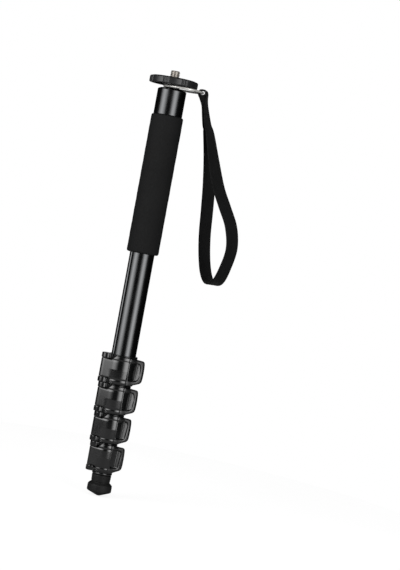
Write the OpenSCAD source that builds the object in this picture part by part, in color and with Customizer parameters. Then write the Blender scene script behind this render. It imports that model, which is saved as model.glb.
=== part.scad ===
// Folding camera monopod with five tubes and four lever locks.
// Units are millimetres. Z runs up the leg, the tip of the foot is at the origin,
// the levers face -Y and their finger tabs point to +X.

/* [Tubes] */
// Radius of the top tube
tube_r = 12.4; // [11:0.1:14]
// Wall of each tube
tube_wall = 1.0; // [0.8:0.05:1.3]
// Gap between one tube and the next
tube_gap = 0.4; // [0.35:0.05:0.6]
// Depth of the groove that runs along each tube
groove_depth = 0.7; // [0.4:0.05:0.8]
// Width of the groove on the top tube
groove_w = 3.6; // [3:0.1:5]
// Length of a guide bush
bush_len = 24; // [16:1:30]

/* [Locks] */
// Height of one lock
lock_h = 29.6; // [27:0.1:33]
// Gap between one lock and the next
lock_gap = 0.3; // [0.2:0.1:1]
// Wall of the lock collar
collar_wall = 2.0; // [1.7:0.1:2.6]
// Thickness of the lever's shell
lever_t = 2.15; // [1.8:0.05:2.8]
// Gap between a lever and its collar
lever_gap = 0.35; // [0.3:0.05:0.6]
// Radius of the hinge pin
pin_r = 1.5; // [1:0.1:1.8]
// Radial clearance of the lever on its pin
pin_clear = 0.05; // [0.02:0.01:0.1]
// Offset of the cam on the lever
cam_offset = 0.35; // [0.3:0.01:0.36]
// Clearance of the sliding guides
guide_clear = 0.12; // [0.1:0.01:0.15]

/* [Grip and head] */
// Bare length of the top tube between the locks and the grip
bare_len = 103.6; // [80:0.1:140]
// Length of the foam grip
grip_len = 139.5; // [110:0.5:170]
// Outside radius of the foam grip
grip_r = 16.2; // [15.2:0.1:19]
// Visible length of the head sleeve
sleeve_len = 27; // [20:0.5:40]
// Outside radius of the head sleeve
sleeve_r = 14.45; // [14:0.05:16]
// Radius of the platform wheel
wheel_r = 24.35; // [20:0.05:30]
// Height of the platform wheel
wheel_h = 6.5; // [5:0.1:9]
// Height of the stud above the pad
stud_h = 7.4; // [5:0.1:9.5]
// Radius of the camera stud
stud_r = 4.7625; // [3.175, 4.7625]

/* [Foot] */
// Height of the rubber foot
foot_h = 21.4; // [18:0.1:26]
// Radius of the foot's flange
flange_r = 12.4; // [11:0.1:15]

/* [Strap] */
// Width of the webbing
strap_w = 15; // [10:0.5:16]
// Thickness of the webbing
strap_t = 1.6; // [1:0.1:1.6]
// Radius of the strap ring's wire
wire_r = 1.1; // [0.8:0.05:1.2]

/* [Hidden] */
$fn = 96;

// Tubes: each one is the next step of the same grooved outline
tube_step = tube_wall + tube_gap;
groove_az = 217;
groove_r = (pow(groove_w / 2, 2) + pow(groove_depth, 2)) / (2 * groove_depth);
groove_at = tube_r + groove_r - groove_depth;
function tr(k) = tube_r - tube_step * (k - 1);
function gr(k) = groove_r + tube_step * (k - 1);

// Heights of the locks, the grip and the head
skirt = 2.9;
skirt_gap = 0.3;
lock_z0 = foot_h + skirt_gap + skirt;
function lock_z(k) = lock_z0 + (4 - k) * (lock_h + lock_gap);
seat_z = lock_h * 0.515;
grip_z = lock_z(1) + lock_h + bare_len;
sleeve_z = grip_z + grip_len;
sleeve_top = sleeve_z + sleeve_len;
tube_top = sleeve_top - 9;
neck_h = 3.3;
neck_r = 7;
wheel_z = sleeve_top + neck_h + 0.2;
pad_h = 0.6;
wheel_top = wheel_z + wheel_h;
shank_r = 3.6;
relief_r = stud_r - 0.35;
thread_z = wheel_top + pad_h + 0.2;
cap_plug = 6;
function top_z(k) = tube_top - 10 - 3.5 * (k - 2);
function bottom_z(k) = k == 5 ? 12 : lock_z(k) + seat_z + 0.2;

// Locks: everything is laid out from the radius of the tube that the lock sits on
seam = 0.03;
function cr(k) = tr(k) + collar_wall;
function lin(k) = cr(k) + lever_gap;
function lout(k) = lin(k) + lever_t;
function hx(k) = -(tr(k) + 4.6);
function hy(k) = -0.363 * tr(k);
function hd(k) = norm([hx(k), hy(k)]);
function haz(k) = atan2(hy(k), hx(k));
barrel_r = 3.9;
ear_r = 4.5;
cam_r = 3.25;
cam_clear = 0.12;
ear_lo = lock_h * 0.176;
ear_hi = lock_h * 0.821;
arm_lo = ear_lo + 0.3;
arm_hi = ear_hi - 0.3;
pad_z = lock_h * 0.264;
pad_zh = lock_h * 0.2365;
pad_w = 5.4;
function polar(r, a) = [r * cos(a), r * sin(a)];

// Outline of a tube with its groove
module grooved(r, g, z0, z1) {
    difference() {
        translate([0, 0, z0]) cylinder(r = r, h = z1 - z0);
        rotate(groove_az) translate([groove_at, 0, z0 - 1]) cylinder(r = g, h = z1 - z0 + 2);
    }
}

module tube(k) {
    color([0.05, 0.05, 0.055]) difference() {
        grooved(tr(k), gr(k), bottom_z(k), k == 1 ? tube_top : top_z(k));
        grooved(tr(k) - tube_wall, gr(k) + tube_wall, bottom_z(k) - 1, top_z(k) + 20);
    }
}

// Ring on the upper end of a tube, which runs in the tube around it
module guide_bush(k) {
    color([0.75, 0.75, 0.72]) difference() {
        grooved(tr(k) + tube_gap - 0.1, gr(k) - tube_gap + 0.1, top_z(k) - bush_len, top_z(k) + 2);
        grooved(tr(k) + 0.02, gr(k) - 0.02, top_z(k) - bush_len - 1, top_z(k) + 0.02);
        grooved(tr(k) - tube_wall, gr(k) + tube_wall, top_z(k) - 1, top_z(k) + 3);
    }
}

// Front outline of the ear ends and of the lever, in X and Z
function ear_rise(z) = min(1, max(0, abs(z - lock_h / 2) - lock_h * 0.325) / (lock_h * 0.169));
function slant_x(k, z) = -(0.35 * tr(k) + 6.7) + 5.4 * ear_rise(z);

// Reach of an ear from its hinge at a height; the lever's shoulders swing past it
function ear_far(k) = norm([slant_x(k, 0) - hx(k), 0.57 * tr(k) + 4]);
function ear_near(k) = norm([slant_x(k, lock_h / 2) - hx(k), 0.49 * tr(k) + 2.07]);
function ear_reach(k, z) = let (low = z < lock_h / 2,
    share = ((low ? z : lock_h - z) + 0.6) / ((low ? ear_lo : lock_h - ear_hi) + 1.2))
    ear_far(k) + (ear_near(k) - ear_far(k)) * share;

// Round space about the hinge, below and above the arm
module ear_swing(k, room, low_top, high_bottom) {
    top = lock_h + 0.6;
    translate([hx(k), hy(k), 0]) rotate_extrude() {
        polygon([[0, -0.6], [ear_reach(k, -0.6) + room, -0.6], [ear_reach(k, low_top) + room, low_top],
                 [0, low_top]]);
        polygon([[0, high_bottom], [ear_reach(k, high_bottom) + room, high_bottom],
                 [ear_reach(k, top) + room, top], [0, top]]);
    }
}

module ear(k, z0, z1) {
    h = [hx(k), hy(k)];
    difference() {
        intersection() {
            union() {
                translate([h[0], h[1], z0]) cylinder(r = ear_r, h = z1 - z0);
                translate([0, 0, z0]) linear_extrude(z1 - z0)
                    polygon([h + polar(ear_r, 160), h + polar(ear_r, 245), polar(lout(k) - 0.5, 237),
                             polar(lout(k) - 0.2, 246), polar(lout(k) - 0.2, 258), [0, 0]]);
            }
            ear_swing(k, 0, ear_lo + 0.6, ear_hi - 0.6);
        }
        translate([0, 0, z0 - 1]) cylinder(r = cr(k) - 0.6, h = z1 - z0 + 2);
        // slanted end, level with the lever's shoulder
        translate([0, 40, 0]) rotate([90, 0, 0]) linear_extrude(80)
            polygon([[slant_x(k, ear_hi) - 0.5, ear_hi - 0.6], [slant_x(k, lock_h) - 0.5, lock_h + 0.6],
                     [40, lock_h + 0.6], [40, -0.6], [slant_x(k, 0) - 0.5, -0.6],
                     [slant_x(k, ear_lo) - 0.5, ear_lo + 0.6]]);
    }
}

module lock_collar(k) {
    low = k == 4 ? -skirt : 0;
    color([0.04, 0.04, 0.045]) translate([0, 0, lock_z(k)]) difference() {
        union() {
            translate([0, 0, low]) cylinder(r = cr(k), h = lock_h - low);
            ear(k, ear_hi, lock_h);
            ear(k, 0, ear_lo);
        }
        // seat for the tube above, bore for the liner, and the way out for the next tube
        translate([0, 0, 1.2]) cylinder(r = tr(k) + seam, h = lock_h);
        translate([0, 0, low - 1]) cylinder(r = tr(k + 1) + 0.25, h = lock_h);
        // space for the barrel of the lever
        translate([hx(k), hy(k), ear_lo]) cylinder(r = barrel_r + 0.35, h = ear_hi - ear_lo);
        // window for the brake pad
        rotate(haz(k)) translate([0, -pad_w / 2 - 0.2, pad_z - 0.2])
            cube([hd(k), pad_w + 0.4, pad_zh + 0.4]);
        // bores for the pin
        translate([hx(k), hy(k), -1]) cylinder(r = pin_r + seam, h = lock_h + 2);
    }
}

module lock_liner(k) {
    color([0.8, 0.8, 0.77]) translate([0, 0, lock_z(k)]) difference() {
        translate([0, 0, 1.25]) cylinder(r = tr(k), h = seat_z - 1.25);
        grooved(tr(k + 1) + guide_clear, gr(k + 1) - guide_clear, 0, lock_h);
        rotate(haz(k)) translate([0, -pad_w / 2 - 0.2, pad_z - 0.2])
            cube([hd(k), pad_w + 0.4, pad_zh + 0.4]);
    }
}

module hinge_pin(k) {
    color([0.7, 0.7, 0.72]) translate([hx(k), hy(k), lock_z(k) + 0.4]) cylinder(r = pin_r, h = lock_h - 0.8);
}

module brake_pad(k) {
    reach = hd(k) - cam_r - cam_offset - cam_clear;
    color([0.5, 0.5, 0.48]) translate([0, 0, lock_z(k)]) difference() {
        rotate(haz(k)) translate([tr(k + 1) - 2, -pad_w / 2, pad_z])
            cube([reach - tr(k + 1) + 2, pad_w, pad_zh]);
        translate([0, 0, pad_z - 1]) cylinder(r = tr(k + 1) + guide_clear, h = pad_zh + 2);
    }
}

// Front outline of a lever
module lever_front(k) {
    xr = tr(k) + 11.2;
    zr = lock_h;
    translate([0, 40, 0]) rotate([90, 0, 0]) linear_extrude(80)
        polygon([[-40, arm_lo], [slant_x(k, ear_lo), arm_lo], [slant_x(k, 0), 0.3], [0.28 * xr, 0.3],
                 [0.5 * xr, 0.03 * zr], [0.86 * xr, 0.132 * zr], [0.93 * xr, 0.169 * zr],
                 [0.965 * xr, 0.223 * zr], [0.99 * xr, 0.355 * zr], [xr, 0.524 * zr], [0.99 * xr, 0.693 * zr],
                 [0.965 * xr, 0.831 * zr], [0.94 * xr, 0.878 * zr], [0.9 * xr, 0.909 * zr],
                 [0.5 * xr, 0.953 * zr], [0.3 * xr, zr - 0.4], [slant_x(k, zr), zr - 0.4],
                 [slant_x(k, ear_hi), arm_hi], [-40, arm_hi]]);
}

// Front outline of the finger pocket
module pocket_front(k) {
    xr = tr(k) + 11.2;
    zr = lock_h;
    translate([0, 40, 0]) rotate([90, 0, 0]) linear_extrude(80)
        polygon([[0.3 * xr, 0.2 * zr], [0.68 * xr, 0.2 * zr], [0.76 * xr, 0.225 * zr], [0.815 * xr, 0.3 * zr],
                 [0.838 * xr, 0.42 * zr], [0.842 * xr, 0.55 * zr], [0.83 * xr, 0.68 * zr],
                 [0.8 * xr, 0.765 * zr], [0.74 * xr, 0.81 * zr], [0.6 * xr, 0.82 * zr], [0.3 * xr, 0.82 * zr]]);
}

module lock_lever(k) {
    h = [hx(k), hy(k)];
    ro = lout(k);
    // flat hinge arm from the barrel to the main shell
    p1 = polar(ro - 0.6, 238);
    p2 = polar(ro - 0.02, 252);
    reach = norm(p1 - h);
    lean = atan2(p1[1] - h[1], p1[0] - h[0]) + asin(barrel_r / reach);
    t1 = h + polar(barrel_r, lean - 90);
    // finger tab, tangent to the main shell
    a = polar(ro - 0.02, 300);
    run = (tr(k) + 9.4 - a[0]) / cos(30);
    b = a + polar(run, 30);
    tip_x = tr(k) + 11.2;
    w1 = polar(ro - 0.8, 338);
    color([0.09, 0.09, 0.095]) translate([0, 0, lock_z(k)]) difference() {
        union() {
            intersection() {
                difference() {
                    union() {
                        // main shell, which leans in below its middle
                        intersection() {
                            rotate_extrude() polygon([[lin(k) - 1, 0], [ro - 1.3, 0], [ro, lock_h / 2],
                                                      [ro, lock_h - 2], [ro - 1.1, lock_h - 0.2],
                                                      [lin(k) - 1, lock_h - 0.2]]);
                            translate([0, 0, -1]) linear_extrude(lock_h + 2)
                                polygon([[0, 0], polar(40, 247), polar(60, 295), polar(40, 345)]);
                        }
                        linear_extrude(lock_h) polygon([[0, 0], h, t1, p1, p2]);
                        linear_extrude(lock_h) polygon([[0, 0], a, b, [tip_x - 0.6, b[1] + 1.1],
                                                        [tip_x, b[1] + 2.6], [tip_x - 0.5, b[1] + 4.2],
                                                        [tr(k) + 6.5, b[1] + 4.4], polar(ro - 0.3, 347)]);
                    }
                    translate([0, 0, -1]) cylinder(r = lin(k), h = lock_h + 2);
                }
                difference() {
                    lever_front(k);
                    ear_swing(k, 0.5, arm_lo, arm_hi);
                }
            }
            translate([h[0], h[1], arm_lo]) cylinder(r = barrel_r, h = arm_hi - arm_lo);
        }
        // finger pocket between the shell and the raised lip
        intersection() {
            linear_extrude(lock_h) difference() {
                polygon([[0, 0], w1, w1 + polar(20, -28), [w1[0] + 20, -40], [a[0] + 0.5, -40],
                         [a[0] + 0.5, a[1]]]);
                circle(r = ro - 0.6);
            }
            pocket_front(k);
        }
        // relief that leaves the cam on the side of the pad
        translate([h[0], h[1], pad_z - 0.4]) difference() {
            rotate(haz(k) - 180 + 55) translate([0, -6, 0]) cube([6, 12, pad_zh + 0.8]);
            translate([0, 0, -1]) rotate(haz(k) - 180) translate([cam_offset, 0, 0])
                cylinder(r = cam_r, h = pad_zh + 3);
        }
        translate([h[0], h[1], 0]) cylinder(r = pin_r + pin_clear, h = lock_h);
    }
}

module foam_grip() {
    color([0.03, 0.03, 0.03]) translate([0, 0, grip_z]) rotate_extrude()
        difference() {
            union() {
                translate([tube_r + seam, 0]) square([grip_r - 1.6 - tube_r - seam, grip_len]);
                translate([tube_r + seam, 1.6]) square([grip_r - tube_r - seam, grip_len - 3.2]);
                translate([grip_r - 1.6, 1.6]) circle(r = 1.6);
                translate([grip_r - 1.6, grip_len - 1.6]) circle(r = 1.6);
            }
        }
}

module head_sleeve() {
    color([0.03, 0.03, 0.035]) rotate_extrude()
        polygon([[tube_r + seam, sleeve_z], [sleeve_r, sleeve_z], [sleeve_r, sleeve_top - 1.9],
                 [sleeve_r - 0.9, sleeve_top - 0.9], [sleeve_r - 3.2, sleeve_top],
                 [tube_r - 2, sleeve_top], [tube_r - 2, sleeve_top - 2], [tube_r + seam, sleeve_top - 2]]);
}

module top_cap() {
    color([0.05, 0.05, 0.05]) difference() {
        union() {
            translate([0, 0, tube_top - cap_plug])
                cylinder(r = tube_r - tube_wall - groove_depth - 0.1, h = cap_plug + 0.5);
            translate([0, 0, tube_top + seam]) cylinder(r = tube_r, h = sleeve_top - 2 - tube_top - 2 * seam);
            translate([0, 0, sleeve_top - 3]) cylinder(r = tube_r - 2 - seam, h = 3);
            translate([0, 0, sleeve_top - 3]) cylinder(r = neck_r, h = neck_h + 2.9);
        }
        translate([0, 0, tube_top - cap_plug - 1]) cylinder(r = shank_r + 0.06, h = cap_plug + sleeve_len);
        translate([0, 0, tube_top - cap_plug - 1]) cylinder(r = shank_r + 2.6, h = 0.4 * cap_plug + 1);
    }
}

module platform_wheel() {
    hub_r = neck_r + 3;
    color([0.04, 0.04, 0.04]) difference() {
        translate([0, 0, wheel_z]) rotate_extrude()
            polygon([[0, 0], [hub_r, 0], [hub_r, wheel_h - 2.4], [wheel_r - 3.2, wheel_h - 2.4],
                     [wheel_r - 2.8, 0], [wheel_r - 0.6, 0], [wheel_r, 0.6], [wheel_r, wheel_h - 0.8],
                     [wheel_r - 0.8, wheel_h], [0, wheel_h]]);
        // grip notches in the rim, in pairs
        for (i = [0 : 7], s = [-1, 1]) rotate(i * 45 - 62 + s * 4.2)
            translate([wheel_r + 0.35, 0, wheel_z - 1]) cylinder(r = 0.95, h = wheel_h + 2, $fn = 24);
        // recess for the pad and bores for the stud
        translate([0, 0, wheel_top - 0.6]) cylinder(r = wheel_r - 2.4, h = 2);
        translate([0, 0, wheel_z - 1]) cylinder(r = shank_r + seam, h = wheel_h + 2);
        translate([0, 0, wheel_top - 3]) cylinder(r = relief_r + seam, h = 4);
    }
}

module platform_pad() {
    color([0.02, 0.02, 0.02]) difference() {
        translate([0, 0, wheel_top - 0.6]) cylinder(r = wheel_r - 2.45, h = 0.6 + pad_h);
        translate([0, 0, wheel_top - 2]) cylinder(r = stud_r + 0.8, h = 6);
    }
}

module camera_stud() {
    clip_z = tube_top - 3.6 - 1.3;
    color([0.75, 0.75, 0.74]) difference() {
        union() {
            translate([0, 0, clip_z - 1]) cylinder(r = shank_r, h = wheel_top - clip_z);
            translate([0, 0, wheel_top - 3]) cylinder(r = relief_r, h = thread_z - wheel_top + 3.1);
            translate([0, 0, thread_z]) cylinder(r = stud_r, h = wheel_top + pad_h + stud_h - 0.8 - thread_z);
            translate([0, 0, wheel_top + pad_h + stud_h - 0.8])
                cylinder(r1 = stud_r, r2 = stud_r - 0.8, h = 0.8);
        }
        translate([0, 0, clip_z]) difference() {
            cylinder(r = shank_r + 1, h = 1);
            translate([0, 0, -1]) cylinder(r = shank_r - 0.8, h = 3);
        }
    }
}

module retaining_clip() {
    clip_z = tube_top - 3.6 - 1.3;
    color([0.6, 0.6, 0.6]) translate([0, 0, clip_z + 0.05]) difference() {
        cylinder(r = shank_r + 1.8, h = 0.9);
        translate([0, 0, -1]) cylinder(r = shank_r - 0.77, h = 3);
        translate([0, -1.6, -1]) cube([10, 3.2, 3]);
    }
}

// Strap ring, a plain circle of wire around the neck
ring_r = 19.6;
ring_x = ring_r - wire_r - neck_r - 0.5;
ring_z = sleeve_top + 1.5;

module strap_ring() {
    color([0.85, 0.85, 0.86]) translate([ring_x, 0, ring_z]) rotate_extrude()
        translate([ring_r, 0]) circle(r = wire_r, $fn = 48);
}

module foot_plug() {
    color([0.2, 0.2, 0.2]) union() {
        translate([0, 0, 8.5]) cylinder(r = tr(5), h = 3.5);
        translate([0, 0, 8.5]) cylinder(r = tr(5) - tube_wall - groove_depth - 0.05, h = 14);
    }
}

module rubber_foot() {
    color([0.03, 0.03, 0.03]) difference() {
        rotate_extrude()
            polygon([[0, 0], [1.8, 0], [2.6, 0.35], [flange_r - 0.9, 4.6], [flange_r - 0.1, 5.4],
                     [flange_r, 7], [flange_r - 0.1, 10.8], [flange_r - 0.6, 11.6], [flange_r - 2.3, 13.4],
                     [flange_r - 2.9, 14.3], [flange_r - 2.6, foot_h - 0.5], [flange_r - 2.9, foot_h],
                     [0, foot_h]]);
        translate([0, 0, 8.45]) cylinder(r = tr(5) + seam, h = foot_h);
    }
}

// Wrist strap: points of its middle line, the bearing of its width and the share of its full
// width, from the ring, down in front, round the bottom and back up behind. Points are from the
// ring's wire, where the webbing is gathered in.
strap_at = [ring_x + ring_r, 0, ring_z];
strap_route = [
    [0.5, 0, 2.8, 82, 0.6], [3.3, 0, 2, 82, 0.6], [4.5, 0, -0.8, 82, 0.64], [4.7, -0.1, -5.5, 80, 0.72],
    [5.7, -0.4, -12.5, 75, 0.86], [8.2, -0.6, -22.5, 68, 0.96], [10.5, -1.5, -30, 63, 1], [14.2, -4.5, -38, 57, 1],
    [22.5, -13, -63, 45, 1], [32, -23, -89, 36, 1], [41.5, -29, -107, 34, 1], [51.5, -32, -126, 38, 1],
    [56, -30, -147, 43, 1], [53, -22, -168, 42, 1], [48.5, -10, -182, 40, 1], [42.5, 4, -186, 39, 1],
    [36.5, 17, -179, 39, 1], [31.5, 27, -163, 39, 1], [27.5, 31, -140, 38, 1], [25, 28.5, -113, 37, 1],
    [22.5, 22, -90, 39, 1], [18, 13, -64, 47, 1], [11.4, 4.5, -37, 58, 1], [8.5, 1.6, -29.5, 63, 1],
    [6.1, 0.6, -22.5, 68, 0.96], [2.9, 0.4, -12.9, 75, 0.86], [-0.9, 0.1, -6.2, 80, 0.72], [-3.5, 0, -1.9, 82, 0.64],
    [-2.9, 0, 1.9, 82, 0.6]];
strap_n = len(strap_route);
strap_sub = 3;

function spline(a, b, c, d, t) = 0.5 * (2 * b + (c - a) * t + (2 * a - 5 * b + 4 * c - d) * t * t
                                        + (3 * b - a - 3 * c + d) * t * t * t);
function strap_pt(i) = strap_route[(i + 2 * strap_n) % strap_n];
strap_line = [for (i = [0 : strap_n - 1], j = [0 : strap_sub - 1])
              spline(strap_pt(i - 1), strap_pt(i), strap_pt(i + 1), strap_pt(i + 2), j / strap_sub)];
strap_m = len(strap_line);
function strap_xyz(i) = let (p = strap_line[(i + strap_m) % strap_m]) [p[0], p[1], p[2]];
function unit(v) = v / norm(v);
function strap_ring_pts(i) = let (
    p = strap_line[i],
    t = unit(strap_xyz(i + 1) - strap_xyz(i - 1)),
    w0 = [cos(p[3]), sin(p[3]), 0],
    w = unit(w0 - t * (w0 * t)),
    n = cross(t, w),
    c = [p[0], p[1], p[2]],
    dw = w * strap_w * p[4] / 2,
    dn = n * strap_t / 2
) [c - dw - dn, c + dw - dn, c + dw + dn, c - dw + dn];

module wrist_strap() {
    pts = [for (i = [0 : strap_m - 1]) each strap_ring_pts(i)];
    faces = [for (i = [0 : strap_m - 1], j = [0 : 3]) each let (
        a = i * 4 + j,
        b = i * 4 + (j + 1) % 4,
        c = ((i + 1) % strap_m) * 4 + (j + 1) % 4,
        d = ((i + 1) % strap_m) * 4 + j
    ) [[a, b, c], [a, c, d]]];
    color([0.03, 0.03, 0.03]) translate(strap_at) polyhedron(points = pts, faces = faces);
}

camera_stud();
platform_wheel();
platform_pad();
retaining_clip();
top_cap();
strap_ring();
wrist_strap();
head_sleeve();
foam_grip();
tube(1);  // tube_1
tube(2);  // tube_2
tube(3);  // tube_3
tube(4);  // tube_4
tube(5);  // tube_5
lock_collar(1);  // lock_collar_1
lock_collar(2);  // lock_collar_2
lock_collar(3);  // lock_collar_3
lock_collar(4);  // lock_collar_4
lock_lever(1);  // lock_lever_1
lock_lever(2);  // lock_lever_2
lock_lever(3);  // lock_lever_3
lock_lever(4);  // lock_lever_4
hinge_pin(1);  // hinge_pin_1
hinge_pin(2);  // hinge_pin_2
hinge_pin(3);  // hinge_pin_3
hinge_pin(4);  // hinge_pin_4
brake_pad(1);  // brake_pad_1
brake_pad(2);  // brake_pad_2
brake_pad(3);  // brake_pad_3
brake_pad(4);  // brake_pad_4
lock_liner(1);  // lock_liner_1
lock_liner(2);  // lock_liner_2
lock_liner(3);  // lock_liner_3
lock_liner(4);  // lock_liner_4
guide_bush(2);  // guide_bush_2
guide_bush(3);  // guide_bush_3
guide_bush(4);  // guide_bush_4
guide_bush(5);  // guide_bush_5
foot_plug();
rubber_foot();
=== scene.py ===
"""Camera monopod, five sections, folded: pieces, materials, light and camera."""
import math

import bpy
import numpy as np
from mathutils import Matrix, Vector


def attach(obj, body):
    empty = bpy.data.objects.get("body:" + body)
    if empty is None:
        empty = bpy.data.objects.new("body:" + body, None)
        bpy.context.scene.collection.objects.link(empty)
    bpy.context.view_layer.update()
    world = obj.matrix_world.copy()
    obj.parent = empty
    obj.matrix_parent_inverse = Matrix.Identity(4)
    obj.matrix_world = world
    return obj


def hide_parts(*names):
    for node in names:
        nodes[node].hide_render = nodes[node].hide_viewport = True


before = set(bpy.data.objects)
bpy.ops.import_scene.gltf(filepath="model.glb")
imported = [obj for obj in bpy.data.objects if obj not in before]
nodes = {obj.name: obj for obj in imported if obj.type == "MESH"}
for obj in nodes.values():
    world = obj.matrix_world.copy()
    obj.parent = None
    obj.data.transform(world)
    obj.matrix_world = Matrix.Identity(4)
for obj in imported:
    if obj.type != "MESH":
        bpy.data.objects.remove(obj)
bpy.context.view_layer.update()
scene = bpy.context.scene
MM = 0.001

# Sizes repeated from the part's source, in millimetres

FOOT_H, FLANGE_R = 21.4, 12.4
SKIRT = 2.9
LOCK_H, LOCK_GAP = 29.6, 0.3
SECTIONS = range(1, 6)
LOCKS = range(1, 5)
LOCK_Z = {k: FOOT_H + SKIRT + LOCK_GAP + (LOCK_H + LOCK_GAP) * (LOCKS[-1] - k) for k in LOCKS}
TUBE_STEP, WALL = 1.4, 1.0
LARGEST_R = 12.4
TUBE_R = {k: LARGEST_R - TUBE_STEP * (k - 1) for k in SECTIONS}
HIGHEST_END, NEXT_END, END_STEP = 405.0, 395.0, 3.5
TUBE_TOP = {k: HIGHEST_END if k == 1 else NEXT_END - END_STEP * (k - 2) for k in SECTIONS}
END_IN_LOCK, LOWEST_END = 15.444, 12.0
TUBE_BOTTOM = {k: LOCK_Z[k] + END_IN_LOCK if k in LOCKS else LOWEST_END for k in SECTIONS}
GROOVE_R, GROOVE_DEPTH, GROOVE_AZ = 2.6643, 0.7, 217.0
GROOVE_AT = TUBE_R[1] - GROOVE_DEPTH + GROOVE_R
GRIP_Z, GRIP_LEN, GRIP_R, GRIP_BORE = 247.5, 139.5, 16.2, 12.5
SLEEVE_Z, SLEEVE_TOP, SLEEVE_R, SLEEVE_NECK_R = GRIP_Z + GRIP_LEN, 414.0, 14.45, 11.25
WHEEL_Z, WHEEL_TOP, WHEEL_R = 417.5, 424.0, 24.35
STUD_R, STUD_TOP = 4.7625, WHEEL_TOP + 8.0
RELIEF_R, THREAD_Z = STUD_R - 0.35, WHEEL_TOP + 0.8
RING_R, RING_WIRE = 19.6, 1.1
RING_AT = (11.0, 0.0, 415.5)
STRAP_AT = (RING_AT[0] + RING_R, RING_AT[1], RING_AT[2])
STRAP_W, STRAP_T = 15.0, 1.6


# Mesh helpers

def add_mesh(name, verts, faces, material, body, stands_for=()):
    """A smooth mesh object from points in millimetres, riding on a body."""
    mesh = bpy.data.meshes.new(name)
    points = [tuple(float(c) * MM for c in v) for v in verts]
    mesh.from_pydata(points, [], [tuple(map(int, f)) for f in faces])
    mesh.validate()
    mesh.update()
    obj = bpy.data.objects.new(name, mesh)
    scene.collection.objects.link(obj)
    mesh.materials.append(material)
    mesh.shade_smooth()
    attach(obj, body)
    if stands_for:
        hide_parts(*stands_for)
    return obj


def sharpen(obj, degrees):
    """Edges steeper than this angle stay sharp in the shading."""
    obj.data.set_sharp_from_angle(angle=math.radians(degrees))


def quads(rows, columns, loop=False, flip=False):
    """Faces of a grid of points in closed rows; a loop also joins the last row to the first."""
    faces = []
    for i in range(rows if loop else rows - 1):
        a, b = i * columns, (i + 1) % rows * columns
        for k in range(columns):
            q = (k + 1) % columns
            faces.append((a + k, b + k, b + q, a + q) if flip else (a + k, a + q, b + q, b + k))
    return faces


def rounded(points, radius, steps, closed=False):
    """A polyline whose corners are replaced by arcs; radius is one number or one per point."""
    nearly_straight = math.radians(88)
    most_of_side = 0.45
    n = len(points)
    out = []
    for i, p in enumerate(points):
        r = radius[i] if hasattr(radius, "__len__") else radius
        if r <= 0 or (not closed and i in (0, n - 1)):
            out.append(tuple(p))
            continue
        p = np.array(p, float)
        a = np.array(points[i - 1], float) - p
        b = np.array(points[(i + 1) % n], float) - p
        la, lb = np.linalg.norm(a), np.linalg.norm(b)
        a, b = a / la, b / lb
        half = 0.5 * math.acos(max(-1.0, min(1.0, float(a @ b))))
        if half > nearly_straight:
            out.append(tuple(p))
            continue
        cut = min(r / math.tan(half), most_of_side * la, most_of_side * lb)
        r = cut * math.tan(half)
        mid = p + (a + b) / np.linalg.norm(a + b) * (r / math.sin(half))
        start = p + a * cut - mid
        stop = p + b * cut - mid
        turn = math.atan2(start[0] * stop[1] - start[1] * stop[0], start @ stop)
        for k in range(steps + 1):
            c, s = math.cos(turn * k / steps), math.sin(turn * k / steps)
            spoke = np.array([c * start[0] - s * start[1], s * start[0] + c * start[1]])
            out.append(tuple(mid + spoke))
    return out


def with_supports(profile, closed):
    """A polyline with points added near the ends of its long sides, to keep the shading straight."""
    reach = 0.2
    out = []
    n = len(profile)
    for i in range(n if closed else n - 1):
        a, b = np.array(profile[i], float), np.array(profile[(i + 1) % n], float)
        span = np.linalg.norm(b - a)
        out.append(tuple(a))
        if span > 5 * reach:
            out.append(tuple(a + (b - a) * reach / span))
            out.append(tuple(b - (b - a) * reach / span))
    return out if closed else out + [tuple(profile[-1])]


def lathe(profile, segments, closed=False):
    """Points and faces of a profile of (radius, z) turned about the Z axis."""
    verts, rings, faces = [], [], []
    for r, z in with_supports(profile, closed):
        if r < 1e-6:
            rings.append([len(verts)] * segments)
            verts.append((0.0, 0.0, z))
            continue
        rings.append(list(range(len(verts), len(verts) + segments)))
        for k in range(segments):
            a = 2 * math.pi * k / segments
            verts.append((r * math.cos(a), r * math.sin(a), z))
    for low, high in zip(rings, rings[1:] + rings[:1] if closed else rings[1:]):
        for k in range(segments):
            j = (k + 1) % segments
            face = [low[k], low[j], high[j], high[k]]
            face = [v for i, v in enumerate(face) if v not in face[:i]]
            if len(face) > 2:
                faces.append(face)
    return verts, faces


# Signed distance helpers, for the moulded pieces

def smooth_min(a, b, k):
    """The lesser of two fields, with their meeting rounded over a width k."""
    h = np.maximum(k - np.abs(a - b), 0.0) / k
    return np.minimum(a, b) - h * h * k * 0.25


def smooth_max(a, b, k):
    """The greater of two fields, with their meeting rounded over a width k."""
    return -smooth_min(-a, -b, k)


def polygon_distance(x, y, points):
    """Distance to a closed polygon, negative inside."""
    pts = np.array(points, float)
    best = np.full(x.shape, 1e9)
    inside = np.zeros(x.shape, bool)
    for (ax, ay), (bx, by) in zip(pts, np.roll(pts, -1, axis=0)):
        ex, ey = bx - ax, by - ay
        wx, wy = x - ax, y - ay
        t = np.clip((wx * ex + wy * ey) / (ex * ex + ey * ey + 1e-12), 0, 1)
        best = np.minimum(best, (wx - t * ex) ** 2 + (wy - t * ey) ** 2)
        if ay != by:
            hit = (ay > y) != (by > y)
            inside ^= hit & (x < ax + ex * (y - ay) / ey)
    return np.where(inside, -1.0, 1.0) * np.sqrt(best)


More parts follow.
